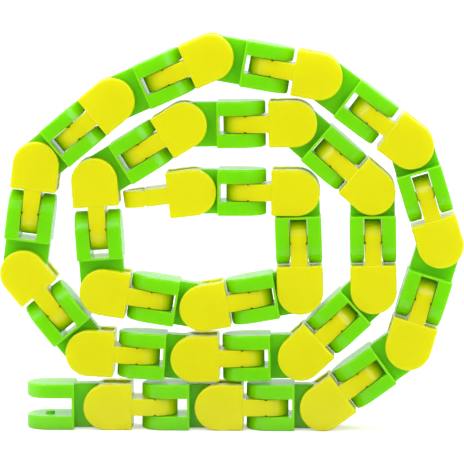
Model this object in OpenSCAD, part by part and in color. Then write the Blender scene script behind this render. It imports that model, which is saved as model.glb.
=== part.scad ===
// Fidget track: a chain of identical moulded links, alternately green and yellow.
// Every link is turned a quarter turn about the chain from the one before it, so
// the joints bend in the plane of the coil and out of it by turns.
// The chain is wound into a coil that stands upright on its straight bottom row.
// Millimetres, +Z up, the coil's plane is XZ and its front faces -Y.

/* [Link body] */
// Side of the link's square section
link_w = 11; // [10.4:0.1:12.5]
// Radius of the moulded outer edges
edge_r = 0.45; // [0.2:0.05:0.8]
// Thickness of the wall between the fork's slot and the shoulder
web_t = 0.6; // [0.5:0.1:1.6]

/* [Fork and its pins] */
// Width of the slot between the fork's two ears
slot_w = 4.3; // [3.4:0.1:5.2]
// Radius of the two short pins inside the fork
pin_r = 1.1; // [0.8:0.05:1.5]
// How far each pin stands proud of its ear
pin_h = 0.55; // [0.35:0.05:0.8]
// Radius gap between an ear's round tip and the next shoulder, pushed right in
tip_gap = 0.2; // [0.1:0.05:0.5]
// Depth of the sloped lead-in at the mouth of the slot
lead_in = 0.35; // [0.1:0.05:0.6]

/* [Tongue] */
// Gap on each side between the tongue and the ears
side_gap = 0.15; // [0.1:0.05:0.3]
// How much narrower than the body the tongue is, on each edge
tongue_inset = 0.2; // [0.15:0.05:0.5]
// Clearance between a pin and the sides of the tongue's slotted hole
pin_fit = 0.08; // [0.03:0.01:0.1]
// Length that a pin can slip along the slotted hole
slip_travel = 2.6; // [2.6:0.1:3]
// Radius of the shallow groove across the tongue's faces
groove_r = 0.3; // [0.15:0.05:0.5]

/* [Hidden] */
$fn = 64;

half_w = link_w / 2;
tongue_t = slot_w - 2 * side_gap;
tongue_r = half_w - tongue_inset;
// The shoulder is the flat end of the fork block, measured from the fork's pins.
shoulder_x = half_w + web_t;
// Where the tongue's groove and the centre of its round tip lie.
groove_x = shoulder_x + half_w;
// Where a pin sits in the tongue when the joint is pushed right in.
pin_in_x = shoulder_x + half_w + tip_gap;
hole_r = pin_r + pin_fit;
lead_len = 4 * lead_in;
pin_bevel = 0.15;
past = 1;

// Bend of each in-plane joint in the coil, in degrees, from the chain's first link.
run_bends = [0, 0, 36, 37, 34, 36, 27, 34, 16, 43, 46, 48,
    4, 42, 48, 48, 42, 31, 62, 77, 19, 82, 88, 7];

// How far each joint is slipped out along its slotted hole, first joint first.
joint_slips = [
    2, 2, 1, 0.5, 1, 0, 1.5, 0, 2, 0.5, 0.5, 1,
    2.5, 0.5, 2, 0, 2, 0, 0, 0.5, 2, 0.5, 0.5, 0.5,
    1, 0.5, 1.5, 0, 0, 0, 0, 0, 1, 0.5, 2, 0,
    1.5, 1, 2, 0, 0.5, 0, 0, 0, 0, 1, 0];

link_count = len(joint_slips) + 1;

// A link's heading and its colour follow from its place in the chain.
function sum_of(list, count) = count == 0 ? 0 : list[count - 1] + sum_of(list, count - 1);
function heading(i) = sum_of(run_bends, floor((i + 1) / 2));
function is_green(i) = i % 2 == 0;
function two_digits(n) = n < 10 ? str("0", n) : str(n);
function link_name(i) =
    str(is_green(i) ? "green" : "yellow", "_link_", two_digits(floor(i / 2) + 1));
function along(angle) = [cos(angle), 0, sin(angle)];

// The fork's pins of each link, found by walking the chain from its first link.
function fork_pins(i = 0, at = [0, 0, half_w]) =
    i == link_count - 1 ? [at]
    : concat([at], fork_pins(i + 1, at + (pin_in_x + joint_slips[i]) * along(heading(i))));

pins = fork_pins();
pin_xs = [for (p = pins) p[0]];
// The coil is centred on X by its outermost round ends.
centre_x = (min(pin_xs) + max(pin_xs)) / 2;

// A square with rounded corners, centred on the origin.
module rounded_square(side, r) {
    union() {
        square([side, side - 2 * r], center = true);
        square([side - 2 * r, side], center = true);
        for (x = [-1, 1], y = [-1, 1])
            translate([x * (side / 2 - r), y * (side / 2 - r)]) circle(r);
    }
}

// Round end of the fork block, with its two rims rounded over.
module fork_round_end() {
    rotate([90, 0, 0])
        rotate_extrude()
            intersection() {
                rounded_square(link_w, edge_r);
                translate([0, -half_w]) square([half_w, link_w]);
            }
}

// Straight part of the fork block, from the pins to the shoulder.
module fork_straight_part() {
    rotate([90, 0, 90])
        linear_extrude(shoulder_x) rounded_square(link_w, edge_r);
}

// Outline that rounds the shoulder's edges, open towards the round end.
module shoulder_outline() {
    union() {
        translate([-link_w, -link_w]) square([link_w + shoulder_x - edge_r, 2 * link_w]);
        translate([0, edge_r - half_w]) square([shoulder_x, link_w - 2 * edge_r]);
        for (y = [-1, 1])
            translate([shoulder_x - edge_r, y * (half_w - edge_r)]) circle(edge_r);
    }
}

// The whole fork block before its slot is cut.
module fork_block() {
    intersection() {
        union() {
            fork_round_end();
            fork_straight_part();
        }
        translate([0, 0, -half_w]) linear_extrude(link_w) shoulder_outline();
        rotate([90, 0, 0]) translate([0, 0, -half_w]) linear_extrude(link_w) shoulder_outline();
    }
}

// Slot between the ears, with sloped faces at its mouth.
module fork_slot() {
    mouth_x = -half_w - past;
    translate([0, 0, -half_w - past])
        linear_extrude(link_w + 2 * past)
            polygon([
                [half_w, -slot_w / 2],
                [half_w, slot_w / 2],
                [lead_len - half_w, slot_w / 2],
                [-half_w, slot_w / 2 + lead_in],
                [mouth_x, slot_w / 2 + lead_in],
                [mouth_x, -slot_w / 2 - lead_in],
                [-half_w, -slot_w / 2 - lead_in],
                [lead_len - half_w, -slot_w / 2],
            ]);
}

// Short pin on the inside of one ear, rooted in the ear and bevelled at its end.
module fork_pin() {
    rotate([90, 0, 0]) {
        translate([0, 0, slot_w / 2 - pin_h + pin_bevel]) cylinder(r = pin_r, h = pin_h);
        translate([0, 0, slot_w / 2 - pin_h])
            cylinder(r1 = pin_r - pin_bevel, r2 = pin_r, h = pin_bevel);
    }
}

// Flat tongue with a round tip, a slotted hole for the pins and a groove on each face.
module tongue() {
    difference() {
        union() {
            translate([groove_x, 0, -tongue_t / 2]) cylinder(r = tongue_r, h = tongue_t);
            translate([shoulder_x - web_t / 2, -tongue_r, -tongue_t / 2])
                cube([half_w + web_t / 2, 2 * tongue_r, tongue_t]);
        }
        translate([0, 0, -tongue_t / 2 - past])
            linear_extrude(tongue_t + 2 * past)
                union() {
                    for (x = [0, slip_travel])
                        translate([pin_in_x + x, 0]) circle(hole_r);
                    translate([pin_in_x, -hole_r]) square([slip_travel, 2 * hole_r]);
                }
        for (side = [-1, 1])
            translate([groove_x, half_w, side * tongue_t / 2])
                rotate([90, 0, 0]) cylinder(r = groove_r, h = link_w);
    }
}

// One moulded link: its fork's pins are on the Y axis and its tongue points along +X.
module link() {
    difference() {
        fork_block();
        fork_slot();
    }
    fork_pin();
    mirror([0, 1, 0]) fork_pin();
    tongue();
}

// Link number i where it lies in the coil; green links are turned a quarter turn.
module coil_link(i) {
    color(is_green(i) ? "#6ee600" : "#e8e405")
        translate(pins[i] - [centre_x, 0, 0])
            rotate([0, -heading(i), 0])
                rotate([is_green(i) ? 90 : 0, 0, 0])
                    link();
}

for (i = [0 : link_count - 1])
    coil_link(i);
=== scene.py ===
"""Fidget track: a coil of snap-together links in two plastics, dressed for its picture.

One link is modelled by hand, and each link of the chain is a copy of it with its own
mesh, laid where the chain's bends and slips put it.
"""

from __future__ import annotations

import logging
import math
from dataclasses import dataclass, field
from enum import Enum

import bpy
from mathutils import Euler, Matrix, Vector


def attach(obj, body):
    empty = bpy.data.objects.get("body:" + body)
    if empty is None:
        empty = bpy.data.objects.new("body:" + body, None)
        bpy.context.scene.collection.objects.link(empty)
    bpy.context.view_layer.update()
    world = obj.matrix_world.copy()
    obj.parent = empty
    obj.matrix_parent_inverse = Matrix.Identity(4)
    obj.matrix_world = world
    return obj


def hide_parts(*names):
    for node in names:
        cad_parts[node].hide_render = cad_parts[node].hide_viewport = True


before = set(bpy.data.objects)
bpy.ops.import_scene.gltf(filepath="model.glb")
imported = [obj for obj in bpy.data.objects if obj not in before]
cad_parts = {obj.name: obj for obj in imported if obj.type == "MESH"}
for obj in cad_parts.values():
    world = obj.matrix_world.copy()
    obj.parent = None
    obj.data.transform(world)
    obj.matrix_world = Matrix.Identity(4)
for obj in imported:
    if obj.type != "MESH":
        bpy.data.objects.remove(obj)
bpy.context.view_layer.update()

log = logging.getLogger("fidget_track")

MM = 0.001
# Faces whose normal is this near to a direction count as facing it.
SAME_WAY = 0.999
# Sides of the round ends, the pins and holes, the ejector marks and the fine cuts.
END_SIDES = 96
PIN_SIDES = 48
MARK_SIDES = 32
FINE_SIDES = 24
PURE_WHITE = (1.0, 1.0, 1.0, 1.0)


class LinkColour(Enum):
    """The two colours that the links are moulded in."""

    GREEN = "green"
    YELLOW = "yellow"


class Cut(Enum):
    """How one solid is combined with another."""

    AWAY = "DIFFERENCE"
    ONTO = "UNION"


class Side(Enum):
    """A side of a link, as a sign along one axis."""

    LOW = -1
    HIGH = 1


def only(piece: bpy.types.Object) -> None:
    """Selects one piece and nothing else, in object mode.

    Args:
        piece: The object to select and make active.
    """
    if bpy.context.mode != "OBJECT":
        bpy.ops.object.mode_set(mode="OBJECT")
    bpy.ops.object.select_all(action="DESELECT")
    piece.hide_set(False)
    piece.select_set(True)
    bpy.context.view_layer.objects.active = piece


def settle(piece: bpy.types.Object) -> None:
    """Applies a piece's place, turn and size to its mesh.

    Args:
        piece: The object to settle.
    """
    only(piece)
    bpy.ops.object.transform_apply(location=True, rotation=True, scale=True)


def apply_modifier(piece: bpy.types.Object, kind: str, **settings: object) -> None:
    """Adds a modifier to a piece and applies it at once.

    Args:
        piece: The object that is changed.
        kind: The modifier's type, such as BEVEL.
        settings: The modifier's own settings.
    """
    only(piece)
    modifier = piece.modifiers.new(kind.lower(), kind)
    for name, value in settings.items():
        setattr(modifier, name, value)
    bpy.ops.object.modifier_apply(modifier=modifier.name)


def round_edges(piece: bpy.types.Object, width: float, segments: int, angle: float) -> None:
    """Rounds the edges of a piece that are sharper than an angle.

    Args:
        piece: The object that is changed.
        width: How far the rounding reaches from each edge.
        segments: How many steps it has.
        angle: The least angle between two faces, in degrees, that is rounded.
    """
    apply_modifier(
        piece,
        "BEVEL",
        width=width,
        segments=segments,
        limit_method="ANGLE",
        angle_limit=math.radians(angle),
    )


def combine(piece: bpy.types.Object, tool: bpy.types.Object, cut: Cut) -> None:
    """Cuts a tool's solid from a piece, or joins it on, and deletes the tool.

    Args:
        piece: The object that is changed.
        tool: The solid that is cut away or joined on.
        cut: Which of the two is done.
    """
    apply_modifier(piece, "BOOLEAN", operation=cut.value, solver="EXACT", object=tool)
    bpy.data.objects.remove(tool)


def pick_vertices(piece: bpy.types.Object, low: Vector, high: Vector) -> None:
    """Selects the vertices of a piece inside a box, and opens edit mode.

    Args:
        piece: The object whose vertices are picked.
        low: The box's lowest corner.
        high: The box's highest corner.
    """
    only(piece)
    bpy.ops.object.mode_set(mode="EDIT")
    bpy.ops.mesh.select_mode(type="VERT")
    bpy.ops.mesh.select_all(action="DESELECT")
    bpy.ops.object.mode_set(mode="OBJECT")
    for vertex in piece.data.vertices:
        vertex.select = all(a <= c <= b for a, c, b in zip(low, vertex.co, high))
    bpy.ops.object.mode_set(mode="EDIT")


def pick_faces_facing(piece: bpy.types.Object, way: Vector) -> None:
    """Selects the faces of a piece that face one way, and opens edit mode.

    Args:
        piece: The object whose faces are picked.
        way: The unit direction that the faces look in.
    """
    only(piece)
    bpy.ops.object.mode_set(mode="EDIT")
    bpy.ops.mesh.select_mode(type="FACE")
    bpy.ops.mesh.select_all(action="DESELECT")
    bpy.ops.object.mode_set(mode="OBJECT")
    for face in piece.data.polygons:
        face.select = face.normal.dot(way) > SAME_WAY
    bpy.ops.object.mode_set(mode="EDIT")


def add_cylinder(
    radius: float, depth: float, at: Vector, axis: str, sides: int
) -> bpy.types.Object:
    """Adds a settled cylinder.

    Args:
        radius: Its radius.
        depth: Its length.
        at: Its middle.
        axis: The axis that it lies along: X, Y or Z.
        sides: How many sides it has.

    Returns:
        The cylinder's object.
    """
    turns = {"X": (0.0, math.pi / 2, 0.0), "Y": (math.pi / 2, 0.0, 0.0), "Z": (0.0, 0.0, 0.0)}
    bpy.ops.mesh.primitive_cylinder_add(
        vertices=sides, radius=radius, depth=depth, location=at, rotation=turns[axis]
    )
    piece = bpy.context.active_object
    settle(piece)
    return piece


def add_box(low: Vector, high: Vector) -> bpy.types.Object:
    """Adds a settled box between two corners.

    Args:
        low: Its lowest corner.
        high: Its highest corner.

    Returns:
        The box's object.
    """
    bpy.ops.mesh.primitive_cube_add(size=1.0, location=(low + high) / 2)
    piece = bpy.context.active_object
    piece.scale = high - low
    settle(piece)
    return piece


def half_round_bar(
    radius: float, depth: float, at: Vector, axis: str, length: float
) -> bpy.types.Object:
    """Makes a bar with one round end: half a cylinder drawn out straight.

    Args:
        radius: Radius of the round end, which is half the bar's width.
        depth: Thickness of the bar along the round end's axis.
        at: Centre of the round end.
        axis: Axis of the round end: Y or Z.
        length: How far the bar runs along X from that centre, with its sign.

    Returns:
        The bar's object.
    """
    bar = add_cylinder(radius, depth, at, axis, END_SIDES)
    only(bar)
    bpy.ops.object.mode_set(mode="EDIT")
    bpy.ops.mesh.select_all(action="SELECT")
    bpy.ops.mesh.bisect(
        plane_co=at,
        plane_no=(1.0, 0.0, 0.0),
        use_fill=True,
        clear_outer=length > 0,
        clear_inner=length < 0,
    )
    pick_faces_facing(bar, Vector((math.copysign(1.0, length), 0.0, 0.0)))
    bpy.ops.mesh.extrude_region_move(TRANSFORM_OT_translate={"value": (length, 0.0, 0.0)})
    bpy.ops.object.mode_set(mode="OBJECT")
    return bar


@dataclass
class NodeSheet:
    """A node tree, with short ways to add and join the nodes that are used here."""

    tree: bpy.types.NodeTree

    def add(self, kind: str, settings: dict[str, object] | None = None) -> bpy.types.Node:
        """Adds a node and sets some of its inputs.

        Args:
            kind: The node's type.
            settings: Values for inputs, by the input's name.

        Returns:
            The node.
        """
        node = self.tree.nodes.new(kind)
        for name, value in (settings or {}).items():
            node.inputs[name].default_value = value
        return node

    def join(self, source: bpy.types.NodeSocket, target: bpy.types.NodeSocket) -> None:
        """Links an output to an input.

        Args:
            source: The output.
            target: The input.
        """
        self.tree.links.new(source, target)

    def place(self, kind: str) -> bpy.types.NodeSocket:
        """Adds texture coordinates.

        Args:
            kind: Which coordinates: Object or Generated.

        Returns:
            The output with the coordinates.
        """
        return self.add("ShaderNodeTexCoord").outputs[kind]

    def depth(self, kind: str) -> bpy.types.NodeSocket:
        """Adds texture coordinates and takes their Y, from front to back.

        Args:
            kind: Which coordinates: Object or Generated.

        Returns:
            The output with Y.
        """
        apart = self.add("ShaderNodeSeparateXYZ")
        self.join(self.place(kind), apart.inputs[0])
        return apart.outputs["Y"]

    def noise(
        self, place: bpy.types.NodeSocket, size: float, detail: float
    ) -> bpy.types.NodeSocket:
        """Adds cloudy noise.

        Args:
            place: The coordinates that it lies on.
            size: Size of its largest clouds.
            detail: How many finer layers it has.

        Returns:
            The output with the noise, from 0 to 1.
        """
        noise = self.add("ShaderNodeTexNoise", {"Scale": 1 / size, "Detail": detail})
        self.join(place, noise.inputs["Vector"])
        return noise.outputs["Fac"]

    def spread(
        self,
        value: bpy.types.NodeSocket,
        taken: tuple[float, float],
        given: tuple[float, float] = (0.0, 1.0),
    ) -> bpy.types.NodeSocket:
        """Maps one range of values to another and holds it at both ends.

        Args:
            value: The output that is mapped.
            taken: The range that it has.
            given: The range that it gets.

        Returns:
            The output with the mapped value.
        """
        ends = {
            "From Min": taken[0],
            "From Max": taken[1],
            "To Min": given[0],
            "To Max": given[1],
        }
        ramp = self.add("ShaderNodeMapRange", ends)
        self.join(value, ramp.inputs["Value"])
        return ramp.outputs["Result"]

    def by_ray(
        self, ray: str, others: bpy.types.NodeSocket, chosen: bpy.types.NodeSocket
    ) -> bpy.types.NodeSocket:
        """Chooses between two shaders by the kind of ray that meets them.

        Args:
            ray: The kind of ray, as the light path names it.
            others: The shader for all other rays.
            chosen: The shader for that kind of ray.

        Returns:
            The output with the choice.
        """
        path = self.add("ShaderNodeLightPath")
        choice = self.add("ShaderNodeMixShader")
        self.join(path.outputs[ray], choice.inputs["Fac"])
        self.join(others, choice.inputs[1])
        self.join(chosen, choice.inputs[2])
        return choice.outputs[0]


@dataclass(frozen=True)
class MouldedPlastic:
    """Glossy injection-moulded plastic, a little cloudy and with a faint grain.

    Attributes:
        name: Name of the material.
        colour: Linear colour of most of the plastic.
        cloud_colour: Linear colour of its slightly darker clouds.
        roughness: Least and greatest roughness of its surface.
        noise_middle: The part of each noise that makes the whole change.
        cloud_size: Size of the largest clouds in metres.
        cloud_detail: How many finer layers the clouds have.
        sheen_size: Size of the patches of another roughness.
        sheen_detail: How many finer layers those patches have.
        grain_size: Size of the fine grain's bumps.
        grain_detail: How many finer layers the grain has.
        grain_height: Height of the grain's bumps.
        grain_strength: How much of that height shows.
        refraction: Index of refraction.
        gloss: Level of the mirror reflection; 0.5 is that of the index.
        glow: Share of the light that scatters inside the plastic.
        glow_depth: How deep that light goes.
        glow_reach: That depth's share for red, green and blue light.
    """

    name: str
    colour: tuple[float, float, float]
    cloud_colour: tuple[float, float, float]
    roughness: tuple[float, float] = (0.17, 0.23)
    noise_middle: tuple[float, float] = (0.3, 0.7)
    cloud_size: float = 9 * MM
    cloud_detail: float = 3.0
    sheen_size: float = 3.6 * MM
    sheen_detail: float = 5.0
    grain_size: float = 0.35 * MM
    grain_detail: float = 4.0
    grain_height: float = 0.001 * MM
    grain_strength: float = 0.05
    refraction: float = 1.5
    gloss: float = 0.5
    glow: float = 0.8
    glow_depth: float = 3 * MM
    glow_reach: tuple[float, float, float] = (1.0, 1.0, 0.3)

    def material(self) -> bpy.types.Material:
        """Builds the finish's node material.

        Returns:
            The material.
        """
        material = bpy.data.materials.new(self.name)
        material.use_nodes = True
        sheet = NodeSheet(material.node_tree)
        shader = material.node_tree.nodes["Principled BSDF"]
        shader.inputs["IOR"].default_value = self.refraction
        shader.inputs["Specular IOR Level"].default_value = self.gloss
        shader.inputs["Subsurface Weight"].default_value = self.glow
        shader.inputs["Subsurface Scale"].default_value = self.glow_depth
        shader.inputs["Subsurface Radius"].default_value = self.glow_reach
        place = sheet.place("Object")

        tint = sheet.add("ShaderNodeValToRGB")
        shades = (self.cloud_colour, self.colour)
        for stop, position, shade in zip(tint.color_ramp.elements, self.noise_middle, shades):
            stop.position = position
            stop.color = (*shade, 1.0)
        sheet.join(sheet.noise(place, self.cloud_size, self.cloud_detail), tint.inputs["Fac"])
        sheet.join(tint.outputs["Color"], shader.inputs["Base Color"])

        sheen = sheet.noise(place, self.sheen_size, self.sheen_detail)
        sheet.join(
            sheet.spread(sheen, self.noise_middle, self.roughness), shader.inputs["Roughness"]
        )

        bump = sheet.add(
            "ShaderNodeBump", {"Strength": self.grain_strength, "Distance": self.grain_height}
        )
        sheet.join(sheet.noise(place, self.grain_size, self.grain_detail), bump.inputs["Height"])
        sheet.join(bump.outputs["Normal"], shader.inputs["Normal"])
        return material


LIME_PLASTIC = MouldedPlastic(
    name="lime_plastic", colour=(0.23, 0.8, 0.0), cloud_colour=(0.2, 0.77, 0.0)
)
LEMON_PLASTIC = MouldedPlastic(
    name="lemon_plastic", colour=(0.86, 0.82, 0.002), cloud_colour=(0.84, 0.8, 0.001)
)


@dataclass(frozen=True)
class WhiteSweep:
    """Matt white paper that reads as white to the camera and keeps soft shadows.

    Attributes:
        name: Name of the material.
        paper: Linear colour of the paper.
        own_share: Strength of the light that the paper adds for the camera.
        dim_paper: Colour of the paper in front, as the plastic's gloss sees it.
        dim_edge: Where that colour ends and the paper's own begins, along Y.
    """

    name: str = "white_sweep"
    paper: tuple[float, float, float] = (0.8, 0.8, 0.8)
    own_share: float = 0.42
    dim_paper: tuple[float, float, float] = (0.06, 0.06, 0.06)
    dim_edge: tuple[float, float] = (-0.08, -0.02)

    def material(self) -> bpy.types.Material:
        """Builds the paper's node material.

        The camera sees the paper a little brighter than its light makes it, and the
        plastic's gloss sees it dim in front of the coil, so that it keeps its colour.

        Returns:
            The material.
        """
        material = bpy.data.materials.new(self.name)
        material.use_nodes = True
        nodes = material.node_tree.nodes
        nodes.remove(nodes["Principled BSDF"])
        sheet = NodeSheet(material.node_tree)
        matt = sheet.add("ShaderNodeBsdfDiffuse", {"Color": (*self.paper, 1.0)})
        fade = sheet.add("ShaderNodeMix")
        fade.data_type = "RGBA"
        fade.inputs["A"].default_value = (*self.dim_paper, 1.0)
        fade.inputs["B"].default_value = (*self.paper, 1.0)
        sheet.join(sheet.spread(sheet.depth("Object"), self.dim_edge), fade.inputs["Factor"])
        dim = sheet.add("ShaderNodeBsdfDiffuse")
        sheet.join(fade.outputs["Result"], dim.inputs["Color"])
        lift = sheet.add("ShaderNodeEmission", {"Strength": self.own_share})
        seen = sheet.add("ShaderNodeAddShader")
        sheet.join(matt.outputs[0], seen.inputs[0])
        sheet.join(lift.outputs[0], seen.inputs[1])
        lit = sheet.by_ray("Is Glossy Ray", matt.outputs[0], dim.outputs[0])
        choice = sheet.by_ray("Is Camera Ray", lit, seen.outputs[0])
        sheet.join(choice, nodes["Material Output"].inputs["Surface"])
        return material


@dataclass
class LinkMould:
    """One moulded link in millimetres: its fork's pins on Y, its tongue along +X.

    Attributes:
        width: Side of the link's square section.
        edge_round: Radius of the moulded outer edges.
        web: Thickness of the wall between the fork's slot and the shoulder.
        slot_width: Width of the slot between the two ears.
        pin_radius: Radius of the two short pins.
        pin_height: How far each pin stands proud of its ear.
        tip_gap: Gap between an ear's round tip and the next shoulder.
        lead_in: Depth of the sloped faces at the mouth of the slot.
        lead_slope: How many times longer than deep those faces are.
        side_gap: Gap on each side between the tongue and the ears.
        tongue_inset: How much narrower than the body the tongue is, on each edge.
        pin_fit: Clearance between a pin and the sides of the slotted hole.
        slip_travel: Length that a pin can slip along the hole.
        groove_radius: Radius of the groove across the tongue's faces.
        edge_steps: Steps in the rounding of the outer edges.
        edge_angle: Least angle of an outer edge in degrees.
        small_round: Radius of all the other edges.
        small_steps: Steps in their rounding.
        small_angle: Least angle of such an edge in degrees.
        pin_root: How deep a pin is rooted in its ear.
        pin_bevel: Bevel at a pin's end.
        mark_radius: Radius of an ejector mark.
        mark_inset: How far a mark lies inside half the link's width, along X.
        mark_depth: Depth of a mark.
        gate_radius: Radius of the gate's scar on the tongue's tip.
        gate_depth: Depth of that scar.
        past: How far a cutting core reaches past what it cuts.
        margin: A small step to tell one side of a middle from the other.
        smooth_angle: Greatest angle in degrees that is shaded smooth.
        normal_weight: How much the large faces lead the shading.
        weld: Greatest distance in metres at which vertices are merged.
    """

    width: float = 11.0
    edge_round: float = 0.45
    web: float = 0.6
    slot_width: float = 4.3
    pin_radius: float = 1.1
    pin_height: float = 0.55
    tip_gap: float = 0.2
    lead_in: float = 0.35
    lead_slope: float = 4.0
    side_gap: float = 0.15
    tongue_inset: float = 0.2
    pin_fit: float = 0.08
    slip_travel: float = 2.6
    groove_radius: float = 0.3
    edge_steps: int = 5
    edge_angle: float = 35.0
    small_round: float = 0.12
    small_steps: int = 2
    small_angle: float = 50.0
    pin_root: float = 0.4
    pin_bevel: float = 0.15
    mark_radius: float = 1.5
    mark_inset: float = 1.5
    mark_depth: float = 0.07
    gate_radius: float = 0.55
    gate_depth: float = 0.18
    past: float = 1.0
    margin: float = 0.01
    smooth_angle: float = 32.0
    normal_weight: int = 90
    weld: float = 1e-7

    @property
    def half(self) -> float:
        """Half the width of the link."""
        return self.width / 2

    @property
    def shoulder_x(self) -> float:
        """Distance from the fork's pins to the flat shoulder."""
        return self.half + self.web

    @property
    def tongue_half(self) -> float:
        """Half the thickness of the tongue."""
        return self.slot_width / 2 - self.side_gap

    @property
    def tongue_radius(self) -> float:
        """Radius of the tongue's round tip."""
        return self.half - self.tongue_inset

    @property
    def groove_x(self) -> float:
        """Distance from the fork's pins to the tongue's groove and tip centre."""
        return self.shoulder_x + self.half

    @property
    def pin_in_x(self) -> float:
        """Where the next link's pins sit when the joint is pushed right in."""
        return self.shoulder_x + self.half + self.tip_gap

    @property
    def lead_length(self) -> float:
        """Length of the sloped faces at the mouth of the slot."""
        return self.lead_slope * self.lead_in

    def round_small_edges(self, piece: bpy.types.Object) -> None:
        """Rounds a piece's remaining sharp edges a little.

        Args:
            piece: The object that is changed.
        """
        round_edges(piece, self.small_round, self.small_steps, self.small_angle)

    def fork_block(self) -> bpy.types.Object:
        """Models the fork block with its rounded edges and open slot.

        Returns:
            The block's object.
        """
        block = half_round_bar(self.half, self.width, Vector((0, 0, 0)), "Y", self.shoulder_x)
        round_edges(block, self.edge_round, self.edge_steps, self.edge_angle)
        combine(block, self.slot_cutter(), Cut.AWAY)
        self.round_small_edges(block)
        return block

    def slot_cutter(self) -> bpy.types.Object:
        """Models the core that leaves the slot, with its sloped mouth.

        Returns:
            The core's object.
        """
        high = self.half + self.past
        mouth = self.lead_length - self.half
        half_slot = self.slot_width / 2
        core = add_box(
            Vector((mouth, -half_slot, -high)), Vector((self.half, half_slot, high))
        )
        widen = (half_slot + self.lead_in) / half_slot
        pick_faces_facing(core, Vector((-1, 0, 0)))
        bpy.ops.mesh.extrude_region_move(
            TRANSFORM_OT_translate={"value": (-self.lead_length, 0.0, 0.0)}
        )
        bpy.ops.transform.resize(value=(1.0, widen, 1.0), center_override=(0.0, 0.0, 0.0))
        bpy.ops.mesh.extrude_region_move(TRANSFORM_OT_translate={"value": (-self.past, 0.0, 0.0)})
        bpy.ops.object.mode_set(mode="OBJECT")
        return core

    def pin(self, side: Side) -> bpy.types.Object:
        """Models the short pin inside one ear.

        Args:
            side: Which ear it stands on.

        Returns:
            The pin's object.
        """
        root = self.slot_width / 2 + self.pin_root
        end = self.slot_width / 2 - self.pin_height
        middle = Vector((0, side.value * (root + end) / 2, 0))
        pin = add_cylinder(self.pin_radius, root - end, middle, "Y", PIN_SIDES)
        pick_faces_facing(pin, Vector((0, -side.value, 0)))
        bpy.ops.mesh.bevel(offset=self.pin_bevel, segments=self.small_steps, affect="EDGES")
        bpy.ops.object.mode_set(mode="OBJECT")
        return pin

    def slotted_hole(self) -> bpy.types.Object:
        """Models the core of the tongue's slotted hole.

        Returns:
            The core's object.
        """
        radius = self.pin_radius + self.pin_fit
        deep = 2 * self.tongue_half + 2 * self.past
        core = add_cylinder(radius, deep, Vector((self.pin_in_x, 0, 0)), "Z", PIN_SIDES)
        near = self.pin_in_x + self.margin
        pick_vertices(core, Vector((near, -radius, -deep)), Vector((near + radius, radius, deep)))
        bpy.ops.transform.translate(value=(self.slip_travel, 0.0, 0.0))
        bpy.ops.object.mode_set(mode="OBJECT")
        return core

    def tongue(self) -> bpy.types.Object:
        """Models the tongue with its hole, its grooves and the scar of its gate.

        Returns:
            The tongue's object.
        """
        back = self.groove_x - self.shoulder_x + self.web / 2
        tip = Vector((self.groove_x, 0, 0))
        tongue = half_round_bar(self.tongue_radius, 2 * self.tongue_half, tip, "Z", -back)
        combine(tongue, self.slotted_hole(), Cut.AWAY)
        self.round_small_edges(tongue)
        for side in Side:
            at = Vector((self.groove_x, 0, side.value * self.tongue_half))
            groove = add_cylinder(self.groove_radius, self.width, at, "Y", FINE_SIDES)
            combine(tongue, groove, Cut.AWAY)
        gate_x = self.groove_x + self.tongue_radius + self.past / 2 - self.gate_depth
        gate = add_cylinder(self.gate_radius, self.past, Vector((gate_x, 0, 0)), "X", FINE_SIDES)
        combine(tongue, gate, Cut.AWAY)
        return tongue

    def ejector_mark(self, ear: Side, face: Side) -> bpy.types.Object:
        """Models the shallow round print that an ejector pin leaves on an ear.

        Args:
            ear: The ear that is marked.
            face: Which of the ear's two sides it is on.

        Returns:
            The print's object, to be cut away.
        """
        across = (self.half + self.slot_width / 2) / 2
        high = self.half + self.past / 2 - self.mark_depth
        at = Vector((self.half - self.mark_inset, ear.value * across, face.value * high))
        return add_cylinder(self.mark_radius, self.past, at, "Z", MARK_SIDES)

    def build(self) -> bpy.types.Object:
        """Models the whole link and brings it to its real size.

        Returns:
            The link's object, with its fork's pins at the origin.
        """
        link = self.fork_block()
        for ear in Side:
            for face in Side:
                combine(link, self.ejector_mark(ear, face), Cut.AWAY)
        combine(link, self.tongue(), Cut.ONTO)
        for side in Side:
            combine(link, self.pin(side), Cut.ONTO)
        link.scale = (MM, MM, MM)
        settle(link)
        only(link)
        bpy.ops.object.mode_set(mode="EDIT")
        bpy.ops.mesh.select_all(action="SELECT")
        bpy.ops.mesh.remove_doubles(threshold=self.weld)
        bpy.ops.mesh.normals_make_consistent(inside=False)
        bpy.ops.object.mode_set(mode="OBJECT")
        bpy.ops.object.shade_smooth_by_angle(angle=math.radians(self.smooth_angle))
        apply_modifier(link, "WEIGHTED_NORMAL", weight=self.normal_weight, keep_sharp=True)
        link.name = "link_pattern"
        return link


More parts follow.
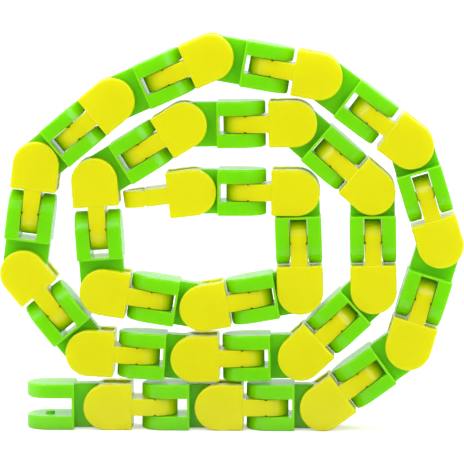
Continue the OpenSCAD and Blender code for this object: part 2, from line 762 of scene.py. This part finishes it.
@dataclass
class Chain:
    """The chain of links, wound into its coil by its bends and slips.

    Attributes:
        bends: Bend of each joint in the coil's plane, in degrees.
        slips: How far each joint is slipped out along its hole, in millimetres.
        mould: The link that all the others are copied from.
    """

    bends: tuple[float, ...] = (
        0, 0, 36, 37, 34, 36, 27, 34, 16, 43, 46, 48,
        4, 42, 48, 48, 42, 31, 62, 77, 19, 82, 88, 7,
    )
    slips: tuple[float, ...] = (
        2, 2, 1, 0.5, 1, 0, 1.5, 0, 2, 0.5, 0.5, 1,
        2.5, 0.5, 2, 0, 2, 0, 0, 0.5, 2, 0.5, 0.5, 0.5,
        1, 0.5, 1.5, 0, 0, 0, 0, 0, 1, 0.5, 2, 0,
        1.5, 1, 2, 0, 0.5, 0, 0, 0, 0, 1, 0,
    )
    mould: LinkMould = field(default_factory=LinkMould)

    def colour(self, index: int) -> LinkColour:
        """Names the colour of a link.

        Args:
            index: The link's number, counted from 0.

        Returns:
            Its colour.
        """
        return LinkColour.YELLOW if index % 2 else LinkColour.GREEN

    def node(self, index: int) -> str:
        """Names the model's node of a link.

        Args:
            index: The link's number, counted from 0.

        Returns:
            The node's name.
        """
        return f"{self.colour(index).value}_link_{index // 2 + 1:02d}"

    def heading(self, index: int) -> float:
        """Adds up the bends before a link.

        Args:
            index: The link's number, counted from 0.

        Returns:
            Its heading in degrees, from +X towards +Z.
        """
        return float(sum(self.bends[: (index + 1) // 2]))

    def pin_places(self) -> list[Vector]:
        """Walks the chain and finds where each link's fork pins lie.

        Returns:
            One point for each link, in millimetres, centred on X.
        """
        places = [Vector((0.0, 0.0, self.mould.half))]
        for index, slip in enumerate(self.slips):
            turn = math.radians(self.heading(index))
            step = self.mould.pin_in_x + slip
            places.append(places[-1] + step * Vector((math.cos(turn), 0.0, math.sin(turn))))
        xs = [place.x for place in places]
        centre = Vector(((min(xs) + max(xs)) / 2, 0.0, 0.0))
        return [place - centre for place in places]

    def lay(self, pattern: bpy.types.Object, index: int, at: Vector) -> bpy.types.Object:
        """Copies the pattern link into its place in the coil.

        Args:
            pattern: The modelled link.
            index: The link's number, counted from 0.
            at: Where its fork pins lie, in millimetres.

        Returns:
            The new link's object.
        """
        link = pattern.copy()
        link.data = pattern.data.copy()
        bpy.context.scene.collection.objects.link(link)
        link.name = f"{self.node(index)}_moulding"
        link.data.name = link.name
        quarter = math.pi / 2 if self.colour(index) is LinkColour.GREEN else 0.0
        turn = Matrix.Rotation(-math.radians(self.heading(index)), 4, "Y")
        link.matrix_world = Matrix.Translation(at * MM) @ turn @ Matrix.Rotation(quarter, 4, "X")
        settle(link)
        return link

    def dress(self, link: bpy.types.Object, index: int, finish: bpy.types.Material) -> None:
        """Gives a link its plastic and ties it to its body.

        Args:
            link: The link's object.
            index: The link's number, counted from 0.
            finish: The plastic's material.
        """
        link.data.materials.clear()
        link.data.materials.append(finish)
        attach(link, self.node(index))
        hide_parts(self.node(index))
        f"{self.colour(index).value}_plastic"

    def build(self) -> list[bpy.types.Object]:
        """Models the pattern link and lays out the whole chain.

        Returns:
            The links, in chain order.
        """
        finishes = {
            LinkColour.GREEN: LIME_PLASTIC.material(),
            LinkColour.YELLOW: LEMON_PLASTIC.material(),
        }
        pattern = self.mould.build()
        log.info("pattern link: %d faces", len(pattern.data.polygons))
        links = []
        for index, at in enumerate(self.pin_places()):
            link = self.lay(pattern, index, at)
            self.dress(link, index, finishes[self.colour(index)])
            links.append(link)
            log.info("%s lies at x %.1f mm, z %.1f mm", link.name, at.x, at.z)
        bpy.data.objects.remove(pattern)
        return links


@dataclass(frozen=True)
class SoftLamp:
    """A round soft lamp: where it hangs, how wide it is and its power in watts."""

    place: tuple[float, float, float]
    size: float
    power: float


@dataclass
class Studio:
    """White paper, soft lamps and the camera, all in metres and degrees.

    Attributes:
        azimuth: How far the camera stands round to the right of the front.
        elevation: How far it looks down.
        distance: How far it stands from its target.
        lens: Focal length in millimetres.
        sensor: Width of the sensor in millimetres.
        clip: The nearest and farthest that the camera sees.
        target: The point that it looks at.
        floor_size: Side of the paper.
        room_light: Strength of the room's white light.
        front_shade: Strength of it straight in front of the coil.
        shade_edge: Where the one fades to the other, as the Y of a direction.
        lamps: The soft lamps.
    """

    azimuth: float = 1.8
    elevation: float = 6.5
    distance: float = 0.76
    lens: float = 247.0
    sensor: float = 36.0
    clip: tuple[float, float] = (0.01, 50.0)
    target: tuple[float, float, float] = (0.0, 0.0, 0.0472)
    floor_size: float = 6.0
    room_light: float = 1.05
    front_shade: float = 0.04
    shade_edge: tuple[float, float] = (-0.95, -0.35)
    lamps: tuple[SoftLamp, ...] = (
        SoftLamp((-0.45, -0.75, 0.75), 0.7, 2.9),
        SoftLamp((0.55, -0.7, 0.6), 0.7, 2.0),
        SoftLamp((0.0, 0.25, 0.9), 0.9, 2.4),
    )

    def camera(self) -> bpy.types.Object:
        """Sets the camera in front of the coil and a little above it.

        Returns:
            The camera's object.
        """
        turn, tilt = math.radians(self.azimuth), math.radians(self.elevation)
        back = Vector(
            (math.sin(turn) * math.cos(tilt), -math.cos(turn) * math.cos(tilt), math.sin(tilt))
        )
        data = bpy.data.cameras.new("camera")
        data.lens = self.lens
        data.sensor_width = self.sensor
        data.clip_start, data.clip_end = self.clip
        camera = bpy.data.objects.new("camera", data)
        camera.location = Vector(self.target) + back * self.distance
        camera.rotation_euler = Euler((math.pi / 2 - tilt, 0.0, turn))
        bpy.context.scene.collection.objects.link(camera)
        bpy.context.scene.camera = camera
        return camera

    def sweep(self) -> bpy.types.Object:
        """Lays the white paper that the coil stands on.

        Returns:
            The paper's object.
        """
        bpy.ops.mesh.primitive_plane_add(size=self.floor_size, location=(0.0, 0.0, 0.0))
        paper = bpy.context.active_object
        paper.name = "white_paper"
        paper.data.materials.append(WhiteSweep().material())
        return paper

    def light(self) -> None:
        """Lights the coil with soft lamps and a white room."""
        for number, soft in enumerate(self.lamps, start=1):
            data = bpy.data.lights.new(f"soft_lamp_{number}", "AREA")
            data.shape = "DISK"
            data.size = soft.size
            data.energy = soft.power
            lamp = bpy.data.objects.new(data.name, data)
            lamp.location = soft.place
            aim = Vector(self.target) - Vector(soft.place)
            lamp.rotation_euler = aim.to_track_quat("-Z", "Y").to_euler()
            bpy.context.scene.collection.objects.link(lamp)
        self.room()

    def room(self) -> None:
        """Makes the room white to the camera, and a soft light with a dark patch in front."""
        world = bpy.data.worlds.new("white_room")
        world.use_nodes = True
        bpy.context.scene.world = world
        nodes = world.node_tree.nodes
        sheet = NodeSheet(world.node_tree)
        white = nodes["Background"]
        white.inputs["Color"].default_value = PURE_WHITE
        strength = sheet.spread(
            sheet.depth("Generated"), self.shade_edge, (self.front_shade, self.room_light)
        )
        soft = sheet.add("ShaderNodeBackground", {"Color": PURE_WHITE})
        sheet.join(strength, soft.inputs["Strength"])
        choice = sheet.by_ray("Is Camera Ray", soft.outputs[0], white.outputs[0])
        sheet.join(choice, nodes["World Output"].inputs["Surface"])


def main() -> None:
    """Builds the chain and its studio, and reports each piece."""
    logging.basicConfig(level=logging.INFO, format="%(message)s")
    bpy.context.scene.view_settings.view_transform = "Standard"
    links = Chain().build()
    log.info("chain: %d links", len(links))
    studio = Studio()
    studio.sweep()
    studio.light()
    camera = studio.camera()
    log.info("camera: %.0f mm lens at %.2f m", camera.data.lens, studio.distance)


if __name__ == "__main__":
    main()
